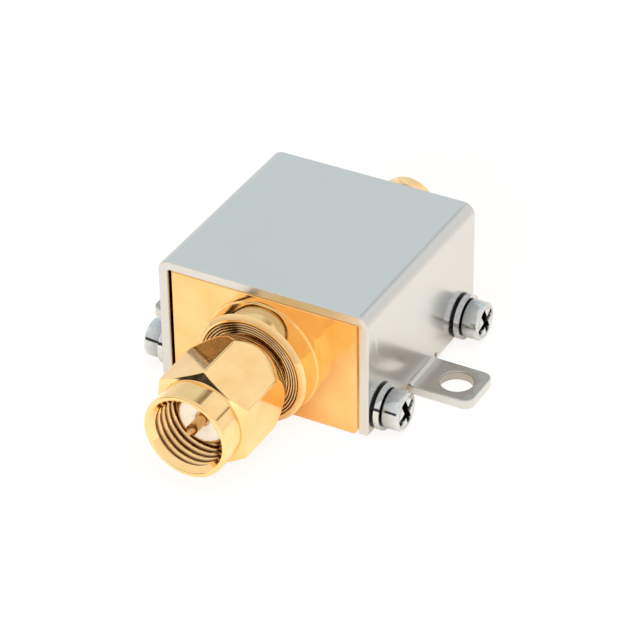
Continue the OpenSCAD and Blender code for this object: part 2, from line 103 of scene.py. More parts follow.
class FilterPlugSizes(bpy.types.PropertyGroup):
    """The plug's fixed body, insulator and pin"""
    root_ring: distance("Root ring", "Diameter of the thin ring at the shoulder's root", 10.3)
    root_ring_length: distance("Root ring length", "Thickness of that ring", 0.35)
    shoulder: distance("Shoulder", "Diameter of the round shoulder", 10.0)
    shoulder_length: distance("Shoulder length", "From the end face to the shoulder's front", 2.475)
    shoulder_bevel: distance("Shoulder bevel", "Bevel at the shoulder's front edge", 0.35)
    neck: distance("Neck", "Diameter of the neck that the nut turns on", 5.6)
    neck_end: distance("Neck end", "From the end face to the neck's front", 6.24)
    shank: distance("Shank", "Diameter of the pressed shank", 5.2)
    shank_length: distance("Shank length", "Length of the pressed shank", 2.6)
    sleeve: distance("Sleeve", "Outer diameter of the contact sleeve", 4.57)
    bore: distance("Bore", "Diameter of the bore round the insulator", 4.12)
    plane: distance("Contact plane", "From the end face to the contact plane", 9.83)
    ring_depth: distance("Ring depth", "Radial thickness of the spring ring in the neck", 0.6)
    ring_gap: distance("Ring gap", "Clearance round that ring in its groove", 0.08)
    groove_pitch: distance("Turning pitch", "Distance between the turned rings on the shoulder's face", 0.22)
    groove_depth: distance("Turning depth", "Depth of those rings", 0.07)
    core: distance("Core", "Diameter of the centre conductor inside the insulator", 1.27)
    pin: distance("Pin", "Diameter of the pin", 0.914)
    pin_reach: distance("Pin reach", "Length of the pin in front of the contact plane", 2.25)
    pin_cone: distance("Pin cone", "Length of the pin's pointed end", 0.5)
    pin_point: distance("Pin point", "Diameter of the flat at the pin's tip", 0.32)
    tail: distance("Tail", "Diameter of the centre conductor's tail", 0.8)
    tail_length: distance("Tail length", "Length of that tail", 1.1)


class FilterNutSizes(bpy.types.PropertyGroup):
    """The coupling nut"""
    flats: distance("Flats", "Width across the flats", 8.0)
    clock: bpy.props.FloatProperty(
        name="Clock", description="Turn of the hexagon's first corner from +X towards +Z",
        default=math.radians(26.5), subtype="ANGLE")
    rear: distance("Rear", "From the end face to the nut's rear end", 2.98)
    length: distance("Length", "Length of the nut", 9.6)
    collar: distance("Collar", "Diameter of the round collar and of the rear end", 7.42)
    collar_length: distance("Collar length", "Length of the round collar", 2.43)
    rear_cone: distance("Rear cone", "Length of the cone behind the hexagon", 2.4)
    front_cone: distance("Front cone", "Length of the bevel in front of the hexagon", 0.48)
    edge: distance("Edge", "Rounding of the hexagon's edges", 0.12)
    lip: distance("Lip", "Rounding of the two ends", 0.18)
    mouth: distance("Mouth", "Diameter of the wide end of the lead-in", 6.7)
    lead_in: distance("Lead-in", "Length of the bevel in the mouth, where the thread runs out", 0.5)
    front_bore: distance("Front bore", "From the mouth to the first full turn of the thread", 1.1)
    crest: distance("Crest", "Diameter over the inner thread's crests", 5.8)
    root: distance("Root", "Diameter in the inner thread's grooves", 6.4)
    pitch: distance("Pitch", "Advance of one turn of the thread", 25.4 / 36)
    thread_length: distance("Thread length", "Length of the inner thread", 4.2)
    relief: distance("Relief", "Diameter behind the thread", 6.5)
    rear_bore: distance("Rear bore", "Diameter of the bore that turns on the neck", 5.72)
    rear_bore_length: distance("Rear bore length", "Length of that bore", 2.0)


class FilterJackSizes(bpy.types.PropertyGroup):
    """The jack at the rear"""
    thread: distance("Thread", "Diameter over the outer thread's crests", 6.35)
    root: distance("Root", "Diameter in the outer thread's grooves", 5.62)
    length: distance("Length", "From the end face to the jack's mouth", 7.0)
    shoulder: distance("Shoulder", "Diameter of the shoulder", 8.0)
    shoulder_length: distance("Shoulder length", "Length of the shoulder", 1.0)
    nose: distance("Nose", "Diameter of the nose and of the neck behind the thread", 5.3)
    nose_length: distance("Nose length", "Length of the nose", 1.4)
    pitch: distance("Pitch", "Advance of one turn of the thread", 25.4 / 36)
    neck_length: distance("Neck length", "Length of the neck behind the thread", 0.6)
    mouth: distance("Mouth", "Diameter of the mouth", 4.62)
    plane: distance("Contact plane", "From the end face to the contact plane", 5.05)


class FilterScrewSizes(bpy.types.PropertyGroup):
    """The four side screws"""
    shank: distance("Shank", "Diameter of a screw", 2.0)
    head: distance("Head", "Diameter of a head", 3.3)
    head_height: distance("Head height", "Height of a head", 1.6)
    head_round: distance("Head rounding", "Rounding of a head's outer edge", 0.35)
    recess: distance("Recess", "Length of the cross recess", 2.5)
    recess_width: distance("Recess width", "Width of an arm of the recess", 0.6)
    recess_depth: distance("Recess depth", "Depth of the recess in its middle", 1.1)
    crown: distance("Crown", "How much higher than its rim a head's middle stands", 0.06)
    clearance: distance("Clearance", "Extra radius of the side walls' holes round a screw", 0.12)
    clock: bpy.props.FloatProperty(
        name="Clock", description="Turn of the cross about its screw",
        default=math.radians(25), subtype="ANGLE")


class FilterFinishes(bpy.types.PropertyGroup):
    """Colours of the finishes"""
    gold: colour("Gold", "Gold plating that faces a white wall", "#FFDB9E")
    gold_deep: colour("Deep gold", "Gold plating where the layer is thinner", "#F6C27C")
    # Painted shade: the dark brown that the turned gold pieces take down in their rings and thread grooves
    painted_groove_shade: colour("Groove shade", "Painted shade down in turned rings and thread grooves", "#4A2215")
    # Partly painted shade: the pin's gold is set deeper than its own tone, for the shade it stands in inside
    # the nut's mouth
    pin_gold_and_shade: colour("Contact gold", "Hard gold of the pin, deepened in part as painted shade", "#DDAE74")
    nickel: colour("Nickel", "Satin nickel of the cover", "#D6D5D2")
    # Painted shade: darker nickel on the ears' tops and inside their holes
    ear_shade_nickel: colour("Ear shade", "Painted shade on the ears' tops and in their holes", "#B3ADA5")
    bright_nickel: colour("Bright nickel", "Plating of the screws and spring washers", "#DADCDC")
    # Near black for the flat washers, and the painted shade down in the screws' recesses and round their seats
    near_black_and_recess_shade: colour("Near black", "Near-black flat washers, and painted shade in the screws' recesses", "#1B1D20")
    # Partly painted light: the warm cream stands for gold-tinted light that the gold round the insulator
    # bounces onto its white
    insulator: colour("Insulator", "White fluoropolymer", "#FFF4DF")
    bronze: colour("Bronze", "Spring ring", "#C79A5F")
    mask: colour("Mask", "Solder mask of the board", "#1F5B3C")
    copper: colour("Copper", "Enamelled winding wire", "#C4683A")
    ceramic: colour("Ceramic", "Body of the chip capacitors", "#A58763")
    tin: colour("Tin", "Solder and tinned ends", "#C9CBC8")
    floor: colour("Floor", "Paper that the part stands on", "#F6F6F4")


GROUPS = {
    "filter_cover": FilterCoverSizes,
    "filter_plug": FilterPlugSizes,
    "filter_nut": FilterNutSizes,
    "filter_jack": FilterJackSizes,
    "filter_screw": FilterScrewSizes,
    "filter_finish": FilterFinishes,
}


def sizes(group):
    """The scene's settings of one group."""
    return getattr(bpy.context.scene, "filter_" + group)


# Meshes

SHARP_ANGLE = math.radians(50)
MERGED_DISTANCE = 0.0005 * MM
SLIVER_LENGTH = 0.0002 * MM
LARGEST_ARC = 0.49      # share of a profile's side that a rounding may take
THREAD_FLAT = 0.16      # share of half a turn that is flat on a thread's crest, and again in its groove


def clamp(value):
    """The value, held between 0 and 1."""
    return max(0.0, min(1.0, value))


def corner_arc(before, corner, after, radius, steps=5):
    """Points that round a corner of a profile, from one side to the other."""
    to_before = (before - corner).normalized()
    to_after = (after - corner).normalized()
    half = to_before.angle(to_after) / 2
    if radius <= 0 or half > math.radians(89):
        return [corner]
    shorter = min((before - corner).length, (after - corner).length)
    reach = min(radius / math.tan(half), shorter * LARGEST_ARC)
    radius = reach * math.tan(half)
    middle = corner + (to_before + to_after).normalized() * (radius / math.sin(half))
    start = corner + to_before * reach - middle
    turn = (math.pi - 2 * half) * (1 if start.x * to_before.y - start.y * to_before.x < 0 else -1)
    arc = []
    for i in range(steps + 1):
        angle = turn * i / steps
        arc.append(middle + Vector((
            start.x * math.cos(angle) - start.y * math.sin(angle),
            start.x * math.sin(angle) + start.y * math.cos(angle))))
    return arc


def rounded(corners):
    """Closed profile from corners of (radius, run) or (radius, run, rounding)."""
    points = [Vector(c[:2]) for c in corners]
    profile = []
    for i, corner in enumerate(corners):
        rounding = corner[2] if len(corner) > 2 else 0
        profile += corner_arc(points[i - 1], points[i], points[(i + 1) % len(points)], rounding)
    return profile


def split_long(profile, start, end, step):
    """The profile with points every step where its run lies between start and end."""
    result = []
    for a, b in zip(profile, profile[1:] + profile[:1]):
        result.append(a)
        low, high = min(a.y, b.y), max(a.y, b.y)
        if high <= start or low >= end or high - low < step:
            continue
        count = math.ceil((b - a).length / step)
        result += [a.lerp(b, i / count) for i in range(1, count)]
    return result


def revolve(profile, steps, shape=None):
    """Vertices and faces of a closed profile turned about its axis; shape may move a point."""
    verts, faces = [], []
    for radius, run in profile:
        for k in range(steps):
            angle = math.tau * k / steps
            r, t = shape(radius, run, angle) if shape else (radius, run)
            verts.append((r * math.cos(angle), t, r * math.sin(angle)))
    for i in range(len(profile)):
        low, high = i * steps, (i + 1) % len(profile) * steps
        for k in range(steps):
            n = (k + 1) % steps
            faces.append((low + k, low + n, high + n, high + k))
    return verts, faces


def finish_piece(name, built, material, node, body=CASE_BODY):
    """Cleans a built mesh, shades it, sets it on a body and hides the node that it stands for."""
    bmesh.ops.remove_doubles(built, verts=built.verts, dist=MERGED_DISTANCE)
    bmesh.ops.dissolve_degenerate(built, edges=built.edges, dist=SLIVER_LENGTH)
    bmesh.ops.recalc_face_normals(built, faces=built.faces)
    mesh = bpy.data.meshes.new(name)
    built.to_mesh(mesh)
    built.free()
    mesh.shade_smooth()
    mesh.set_sharp_from_angle(angle=SHARP_ANGLE)
    mesh.materials.append(material)
    piece = bpy.data.objects.new(name, mesh)
    bpy.context.scene.collection.objects.link(piece)
    # Weighted normals keep large faces flat beside narrow roundings
    weighted = piece.modifiers.new("Flat faces", "WEIGHTED_NORMAL")
    weighted.keep_sharp = True
    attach(piece, body)
    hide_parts(node)
    return piece


def add_piece(name, verts, faces, material, node, body=CASE_BODY):
    """Closed mesh object that rides on a body and stands for a node."""
    built = bmesh.new()
    corners = [built.verts.new(v) for v in verts]
    for face in faces:
        built.faces.new([corners[i] for i in face])
    return finish_piece(name, built, material, node, body)


def turned_piece(name, profile, end, steps, material, node, body=CASE_BODY, shape=None, groove_shade_at=None):
    """A closed profile turned about the connectors' axis, its run measured outwards from an end face.

    end is -1 at the front and 1 at the rear. groove_shade_at gives how deep a radius and run lie in a groove,
    for the painted shade there.
    """
    verts, faces = revolve(profile, steps, shape)
    placed = [(x, end * (HALF_LENGTH + run), AXIS_HEIGHT + z) for x, run, z in verts]
    piece = add_piece(name, placed, faces, material, node, body)
    if groove_shade_at:
        mark_recess(piece, lambda point: groove_shade_at(
            math.hypot(point.x, point.z - AXIS_HEIGHT), end * point.y - HALF_LENGTH))


def mark_recess(piece, depth_at):
    """Notes how deep each point lies in a recess, from 0 to 1, for the material to paint shade there."""
    marks = piece.data.attributes.new(RECESS, "FLOAT", "POINT")
    for vert, mark in zip(piece.data.vertices, marks.data):
        mark.value = clamp(depth_at(vert.co))


def soft_min(a, b, width):
    """The smaller of two lengths, blended over a width where they are close."""
    share = clamp(0.5 + 0.5 * (b - a) / width)
    return b * (1 - share) + a * share - width * share * (1 - share)


def thread_depth(run, angle, pitch, end):
    """0 on the crest of a right-hand thread and 1 in its groove, with flanks of 60 degrees between flats."""
    turn = (run / pitch + end * angle / math.tau) % 1.0
    ramp = 2 * abs(turn - 0.5)
    return clamp((ramp - THREAD_FLAT) / (1 - 2 * THREAD_FLAT))


# Materials

# Painted shade: the materials darken a point by this attribute
RECESS = "recess_shade"             # attribute for how deep a point lies in a groove or recess
FACTOR, FIRST, SECOND = 0, 6, 7     # sockets of a Mix node for colours
WAVE_LENGTH = math.pi / 10          # length of a Wave node's wave at a scale of 1
# Settings of Map Range nodes: levels of most of a noise, levels of nearly all of it, and a fall from 1 to 0
MIDDLE = {"From Min": 0.35, "From Max": 0.65}
WIDE = {"From Min": 0.2, "From Max": 0.8}
FALLING = {"To Min": 1, "To Max": 0}


def between(start, end):
    """Levels of a Map Range node."""
    return {"From Min": start, "From Max": end}


def feed(tree, node, sockets):
    """Gives sockets their values or what feeds them; a node stands for its first output in use."""
    for key, value in sockets.items():
        if isinstance(value, bpy.types.Node):
            value = next(output for output in value.outputs if output.enabled)
        if isinstance(value, bpy.types.NodeSocket):
            tree.links.new(value, node.inputs[key])
        else:
            node.inputs[key].default_value = value


def add_node(tree, kind, sockets=None, **settings):
    """A shader node of a kind such as Math, with its settings, its sockets' values and what feeds them."""
    node = tree.nodes.new("ShaderNode" + kind)
    for key, value in settings.items():
        setattr(node, key, value)
    feed(tree, node, sockets or {})
    return node


def empty_tree(owner):
    """The node tree of a material or a world, with nothing in it."""
    owner.use_nodes = True
    owner.node_tree.nodes.clear()
    return owner.node_tree


def made_once(name):
    """Makes a material under a name when it is first asked for, and finds it again after that."""
    def found(build):
        return lambda: bpy.data.materials.get(name) or build(name)
    return found


def new_material(name, **principled):
    """A material with its tree, its main shader and coordinates in millimetres of the part's frame."""
    material = bpy.data.materials.new(name)
    tree = empty_tree(material)
    shader = add_node(tree, "BsdfPrincipled", principled)
    add_node(tree, "OutputMaterial", {"Surface": shader})
    metres = add_node(tree, "TexCoord").outputs["Object"]
    place = add_node(tree, "VectorMath", {0: metres, "Scale": 1 / MM}, operation="SCALE")
    return material, tree, shader, place


def opaque(values):
    """A colour with full alpha."""
    return (*values[:3], 1.0)


def darker(tone, share):
    """A tone at a share of its strength."""
    return tuple(c * share for c in tone)


def grain(tree, place, size_mm, detail=3.0):
    """Blotches about as large as a size in millimetres, or as three, one along each axis."""
    lengths = size_mm if isinstance(size_mm, tuple) else (size_mm,) * 3
    scaled = add_node(tree, "VectorMath", {0: place, 1: lengths}, operation="DIVIDE")
    return add_node(tree, "TexNoise", {"Vector": scaled, "Scale": 1.0, "Detail": detail, "Roughness": 0.55})


def toned(tree, pattern, tone, shade, levels=MIDDLE):
    """A colour that runs from a tone to its shade as a pattern goes through its levels."""
    amount = add_node(tree, "MapRange", {"Value": pattern, **levels})
    return add_node(
        tree, "Mix", {FACTOR: amount, FIRST: opaque(tone), SECOND: opaque(shade)}, data_type="RGBA")


def about_axis(tree, place):
    """Distance from the connectors' axis and run along it, for marks that a lathe leaves."""
    off_axis = add_node(tree, "VectorMath", {0: place, 1: (0, 0, -AXIS_HEIGHT / MM)}, operation="ADD")
    across = add_node(tree, "VectorMath", {0: off_axis, 1: (1, 0, 1)}, operation="MULTIPLY")
    radius = add_node(tree, "VectorMath", {0: across}, operation="LENGTH")
    run = add_node(tree, "SeparateXYZ", {0: place}).outputs["Y"]
    return add_node(tree, "CombineXYZ", {"X": radius, "Y": run})


def with_painted_recess_shade(tree, colour, shade_colour):
    """A colour that turns into a painted shade colour down in the grooves and recesses of a piece."""
    depth = add_node(tree, "Attribute", attribute_name=RECESS).outputs["Fac"]
    return add_node(
        tree, "Mix", {FACTOR: depth, FIRST: colour, SECOND: opaque(shade_colour)}, data_type="RGBA")


def mottled(name, tone, share, marks_mm, depth_mm, **principled):
    """A material with marks of a real size and depth, in which its tone falls to a share of its strength."""
    material, tree, shader, place = new_material(name, **principled)
    marks = grain(tree, place, marks_mm)
    feed(tree, shader, {
        "Base Color": toned(tree, marks, tone, darker(tone, share)),
        "Normal": add_node(tree, "Bump", {"Height": marks, "Distance": depth_mm * MM})})
    return material


@made_once("gold_plated_turned_brass")
def gold_turned(name):
    """Gold plate on turned brass: a mirror with the tool's faint rings, and a painted shade in dark brown down
    in its grooves.
    """
    finish = sizes("finish")
    material, tree, shader, place = new_material(name, Metallic=1.0, Roughness=0.1)
    cloud = grain(tree, place, 2.4)
    plating = toned(tree, cloud, finish.gold, finish.gold_deep, {**MIDDLE, "To Max": 0.5})
    wear = grain(tree, place, 0.8)
    # A real tool leaves finer rings than these, and the picture is too small to show them
    rings = grain(tree, about_axis(tree, place), 0.09, detail=1.0)
    feed(tree, shader, {
        # Painted shade down in the rings and thread grooves, by how deep each point lies
        "Base Color": with_painted_recess_shade(tree, plating, finish.painted_groove_shade),
        "Roughness": add_node(tree, "MapRange", {"Value": wear, **MIDDLE, "To Min": 0.06, "To Max": 0.13}),
        "Normal": add_node(tree, "Bump", {"Height": rings, "Distance": 0.0012 * MM})})
    return material


@made_once("hard_gold_on_drawn_pin")
def gold_contact(name):
    """Hard gold on the drawn pin: a deeper tone than the plating of the shells, partly its own and partly
    painted shade, with fine marks.
    """
    return mottled(
        name, sizes("finish").pin_gold_and_shade, 0.8, marks_mm=0.25, depth_mm=0.0008,
        Metallic=1.0, Roughness=0.12)


@made_once("gold_plated_milled_brass")
def gold_milled(name):
    """Gold plate on a milled block: flat and glossy, with a soft cloud in the layer and upright cuts."""
    finish = sizes("finish")
    material, tree, shader, place = new_material(name, Metallic=1.0, Roughness=0.12)
    cloud = grain(tree, place, 3.5)
    wear = grain(tree, place, 0.6)
    # Coarser than a real cutter's marks, so that they show
    cuts = grain(tree, place, (0.16, 0.16, 1.07), detail=2.0)
    feed(tree, shader, {
        "Base Color": toned(tree, cloud, finish.gold, finish.gold_deep, {**MIDDLE, "To Min": 0.5}),
        "Roughness": add_node(tree, "MapRange", {"Value": wear, **MIDDLE, "To Min": 0.08, "To Max": 0.14}),
        "Normal": add_node(tree, "Bump", {"Height": cuts, "Distance": 0.0008 * MM})})
    return material


def ear_shade_mask(tree, place):
    """1 on top of an ear and inside its hole, where the nickel takes a painted shade, else 0."""
    cover = sizes("cover")
    ear_start = (cover.wall_reach + cover.ear_fold) / MM
    hole_middle = ((EAR_REACH - cover.hole_inset) / MM, 0, 0)
    hole_radius = cover.ear_hole / 2 / MM
    mirrored = add_node(tree, "VectorMath", {0: place}, operation="ABSOLUTE")
    outwards = add_node(tree, "SeparateXYZ", {0: mirrored}).outputs["X"]
    on_ear = add_node(tree, "MapRange", {"Value": outwards, **between(ear_start, ear_start + 0.6)})
    normal = add_node(tree, "NewGeometry").outputs["Normal"]
    upwards = add_node(tree, "SeparateXYZ", {0: normal}).outputs["Z"]
    on_top = add_node(tree, "MapRange", {"Value": upwards, **between(0.8, 0.98)})
    in_plan = add_node(tree, "VectorMath", {0: mirrored, 1: (1, 1, 0)}, operation="MULTIPLY")
    from_hole = add_node(tree, "VectorMath", {0: in_plan, 1: hole_middle}, operation="DISTANCE")
    in_hole = add_node(
        tree, "MapRange",
        {"Value": from_hole, **between(hole_radius + 0.02, hole_radius + 0.1), **FALLING})
    rubbed_spots_and_ear_shade = add_node(tree, "Math", {0: on_ear, 1: on_top}, operation="MULTIPLY")
    return add_node(tree, "Math", {0: rubbed_spots_and_ear_shade, 1: in_hole}, operation="MAXIMUM")


def worked_sheet(tree):
    """More roughness on cut edges, which the shears leave coarser, and on folds, where the skin stretches."""
    normal = add_node(tree, "NewGeometry").outputs["Normal"]
    mirrored = add_node(tree, "VectorMath", {0: normal}, operation="ABSOLUTE")
    parts = add_node(tree, "SeparateXYZ", {0: mirrored}).outputs
    cut = add_node(tree, "MapRange", {"Value": parts["Y"], **between(0.1, 0.4), "To Max": 0.04})
    bent = add_node(tree, "Math", {0: parts["X"], 1: parts["Z"]}, operation="MULTIPLY")
    return add_node(tree, "Math", {0: bent, 1: 0.5, 2: cut}, operation="MULTIPLY_ADD")


@made_once("nickel_plated_rolled_sheet")
def nickel_sheet(name):
    """Nickel plate on rolled sheet: satin, so reflections are soft, with the faint grain of the rolling."""
    finish = sizes("finish")
    material, tree, shader, place = new_material(name, Metallic=1.0, Roughness=0.22)
    warm = tuple(c * w for c, w in zip(finish.nickel, (0.98, 0.97, 0.955)))
    plating = toned(tree, grain(tree, place, 6.0, detail=1.0), finish.nickel, warm, WIDE)
    # Painted shade on the ears' tops and inside their holes
    ear_shaded = add_node(
        tree, "Mix",
        {FACTOR: ear_shade_mask(tree, place), FIRST: plating, SECOND: opaque(finish.ear_shade_nickel)},
        data_type="RGBA")
    rolled = add_node(
        tree, "MapRange", {"Value": grain(tree, place, 1.6), **WIDE, "To Min": 0.17, "To Max": 0.21})
    # Rolled grain is a few hundredths of a millimetre wide, and is drawn this coarse so that it shows
    streaks = grain(tree, place, (0.3, 3.0, 0.3), detail=1.0)
    feed(tree, shader, {
        "Base Color": ear_shaded,
        "Roughness": add_node(tree, "Math", {0: rolled, 1: worked_sheet(tree)}, operation="ADD"),
        "Normal": add_node(tree, "Bump", {"Height": streaks, "Distance": 0.0003 * MM})})
    return material


@made_once("bright_nickel_plated_steel")
def nickel_bright(name):
    """Bright nickel plate on steel screws and spring washers: shiny and worn dull, with a near-black painted
    shade down in a recess.
    """
    finish = sizes("finish")
    material, tree, shader, place = new_material(name, Metallic=1.0, Roughness=0.1)
    marks = grain(tree, place, 0.35)
    plating = toned(tree, marks, finish.bright_nickel, darker(finish.bright_nickel, 0.86))
    feed(tree, shader, {
        # Painted shade, near black, in the cross recess and round the head's seat
        "Base Color": with_painted_recess_shade(tree, plating, finish.near_black_and_recess_shade),
        "Roughness": add_node(tree, "MapRange", {"Value": marks, **MIDDLE, "To Min": 0.07, "To Max": 0.14}),
        "Normal": add_node(
            tree, "Bump", {"Height": grain(tree, place, 0.2), "Distance": 0.0008 * MM})})
    return material


@made_once("black_oxide_on_steel")
def near_black_steel(name):
    """The flat washers: near black, with a dull sheen and paler worn spots."""
    finish = sizes("finish")
    material, tree, shader, place = new_material(name, Metallic=1.0, Roughness=0.3)
    rubbed_spots_and_ear_shade = grain(tree, place, 0.3)
    pale = darker(finish.near_black_and_recess_shade, 2.5)
    feed(tree, shader, {
        "Base Color": toned(tree, rubbed_spots_and_ear_shade, finish.near_black_and_recess_shade, pale, between(0.45, 0.75)),
        "Roughness": add_node(
            tree, "MapRange", {"Value": rubbed_spots_and_ear_shade, **MIDDLE, "To Min": 0.22, "To Max": 0.36}),
        "Normal": add_node(
            tree, "Bump", {"Height": grain(tree, place, 0.1), "Distance": 0.001 * MM})})
    return material


@made_once("ptfe_turned_rod")
def fluoropolymer(name):
    """White fluoropolymer rod, turned: waxy, with faint tool rings, and a warm tint of painted light bounced
    from the gold round it.
    """
    tone = sizes("finish").insulator
    material, tree, shader, place = new_material(name, Roughness=0.42, IOR=1.35)
    rings = grain(tree, about_axis(tree, place), 0.1, detail=1.0)
    feed(tree, shader, {
        "Base Color": toned(tree, grain(tree, place, 0.9), tone, darker(tone, 0.93)),
        "Normal": add_node(tree, "Bump", {"Height": rings, "Distance": 0.003 * MM})})
    return material


@made_once("drawn_spring_bronze")
def spring_bronze(name):
    """Drawn spring wire, bare: warm metal with fine marks."""
    return mottled(
        name, sizes("finish").bronze, 0.8, marks_mm=0.2, depth_mm=0.002,
        Metallic=1.0, Roughness=0.28)


@made_once("solder_mask_on_glass_laminate")
def solder_mask(name):
    """Green solder mask over glass laminate: glossy, with the threads of the glass cloth as a faint relief."""
    tone = sizes("finish").mask
    thread_spacing = 0.98
    material, tree, shader, place = new_material(name, Roughness=0.3)
    threads = add_node(
        tree, "TexWave",
        {"Vector": place, "Scale": WAVE_LENGTH / thread_spacing, "Distortion": 0.4}).outputs["Fac"]
    feed(tree, shader, {
        "Base Color": toned(tree, threads, tone, darker(tone, 0.7), between(0, 1)),
        "Normal": add_node(tree, "Bump", {"Height": threads, "Distance": 0.004 * MM})})
    return material


@made_once("enamelled_copper_wire")
def enamelled_copper(name):
    """Winding wire in clear enamel: copper under a glossy coat."""
    coat = {"Coat Weight": 0.8, "Coat Roughness": 0.08}
    return mottled(
        name, sizes("finish").copper, 0.8, marks_mm=0.4, depth_mm=0.003,
        Metallic=1.0, Roughness=0.3, **coat)


@made_once("fired_chip_ceramic")
def capacitor_ceramic(name):
    """Fired ceramic of a chip capacitor: matt and fine-grained."""
    return mottled(name, sizes("finish").ceramic, 0.85, marks_mm=0.08, depth_mm=0.004, Roughness=0.55)


@made_once("reflowed_solder")
def solder(name):
    """Reflowed solder: smooth metal with a slightly frosted skin."""
    return mottled(
        name, sizes("finish").tin, 0.8, marks_mm=0.15, depth_mm=0.004,
        Metallic=1.0, Roughness=0.3)


# Pieces

HAIR = 0.01 * MM            # a clearance or rounding too small to see
# How fast the painted shade deepens down into turned rings and threads, and the share that crests keep bright
RING_SHADE = 1.9
NUT_THREAD_SHADE = 1.8
NUT_CREST_SHARE = 0.25
JACK_THREAD_SHADE = 0.5
THREAD_STEPS = 12           # points along a profile for each turn of a thread
RECESS_SLOPE = 0.2          # share of an arm's length over which a cross recess slopes down
RECESS_WALL = 0.06 * MM     # width over which its walls drop


def sheet_folds(cover):
    """Distances along the sheet from its middle to the start and the end of each fold."""
    flat = cover.wall_reach - cover.fold
    wall = flat + (cover.fold - cover.sheet / 2) * math.pi / 2
    drop = CASE_HEIGHT - cover.fold
    ear_fold = wall + drop - (cover.ear_fold + cover.sheet)
    ear = ear_fold + (cover.ear_fold + cover.sheet / 2) * math.pi / 2
    return flat, wall, ear_fold, ear


def quarter(steps):
    """Angles of a quarter turn in equal steps, both ends among them."""
    return [math.pi / 2 * i / steps for i in range(steps + 1)]


def sheet_outline(cover, folds):
    """Right half of the flat sheet's outline, and its holes as (distance along the sheet, y, radius)."""
    flat, wall, ear_fold, ear = folds
    drop = CASE_HEIGHT - cover.fold
    tip = ear + EAR_REACH - cover.wall_reach - cover.ear_fold
    skirt = wall + drop - cover.skirt
    slot = cover.relief / 2
    slot_end = wall + drop - cover.sheet
    half_ear = cover.ear_width / 2
    right = [(skirt, -COVER_HALF_LENGTH), (skirt, -half_ear - cover.relief)]
    right += [
        (slot_end - slot * math.sin(2 * a), -half_ear - slot - slot * math.cos(2 * a)) for a in quarter(8)]
    right += [
        (tip - cover.ear_corner * (1 - math.sin(a)), -half_ear + cover.ear_corner * (1 - math.cos(a)))
        for a in quarter(12)]
    right += [(s, -y) for s, y in reversed(right)]
    low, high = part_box("screw_right_front")
    screw_s = wall + drop - (low.z + high.z) / 2
    screw_y = (low.y + high.y) / 2
    screw = sizes("screw")
    holes = [(tip - cover.hole_inset, 0, cover.ear_hole / 2)]
    holes += [(screw_s, end * screw_y, screw.shank / 2 + screw.clearance) for end in ENDS.values()]
    return right, holes


def folded(s, y, rise, cover, folds):
    """Place of a point of the flat sheet after folding; rise is its height over the sheet's middle."""
    flat, wall, ear_fold, ear = folds
    side = 1 if s > 0 else -1
    s = abs(s)
    if s <= flat:
        return (side * s, y, CASE_HEIGHT - cover.sheet / 2 + rise)
    if s <= wall:
        reach = cover.fold - cover.sheet / 2
        angle = (s - flat) / reach
        return (
            side * (flat + (reach + rise) * math.sin(angle)), y,
            CASE_HEIGHT - cover.fold + (reach + rise) * math.cos(angle))
    if s <= ear_fold or abs(y) > cover.ear_width / 2 + HAIR:
        return (side * (cover.wall_reach - cover.sheet / 2 + rise), y, CASE_HEIGHT - cover.fold - (s - wall))
    if s <= ear:
        reach = cover.ear_fold + cover.sheet / 2
        angle = (s - ear_fold) / reach
        return (
            side * (cover.wall_reach + cover.ear_fold - (reach - rise) * math.cos(angle)), y,
            cover.ear_fold + cover.sheet - (reach - rise) * math.sin(angle))
    return (side * (cover.wall_reach + cover.ear_fold + s - ear), y, cover.sheet / 2 + rise)


def inset_loop(loop, amount):
    """A closed loop of points moved to its left by an amount, with mitred corners."""
    moved = []
    for i, point in enumerate(loop):
        first = (point - loop[i - 1]).normalized()
        second = (loop[(i + 1) % len(loop)] - point).normalized()
        left = Vector((-first.y, first.x)) + Vector((-second.y, second.x))
        moved.append(point + left * (amount / (1 + first.dot(second))))
    return moved


def flat_sheet(loops, thickness, edge):
    """Closed flat sheet inside the first loop and outside the others, its edges rounded."""
    built = bmesh.new()
    half = thickness / 2
    levels = [(edge * (1 - math.cos(a)), half - edge * (1 - math.sin(a))) for a in quarter(4)]
    levels = [(inset, -rise) for inset, rise in reversed(levels)] + levels
    rims = []
    for loop in loops:
        rings = [
            [built.verts.new((p.x, p.y, rise)) for p in inset_loop(loop, inset)]
            for inset, rise in levels]
        for low, high in zip(rings, rings[1:]):
            for i in range(len(loop)):
                n = (i + 1) % len(loop)
                built.faces.new((low[i], low[n], high[n], high[i]))
        rims.append((rings[0], rings[-1]))
    for rim in zip(*rims):
        edges = [built.edges.get(pair) for ring in rim for pair in zip(ring, ring[1:] + ring[:1])]
        bmesh.ops.triangle_fill(built, use_beauty=True, edges=edges)
    return built


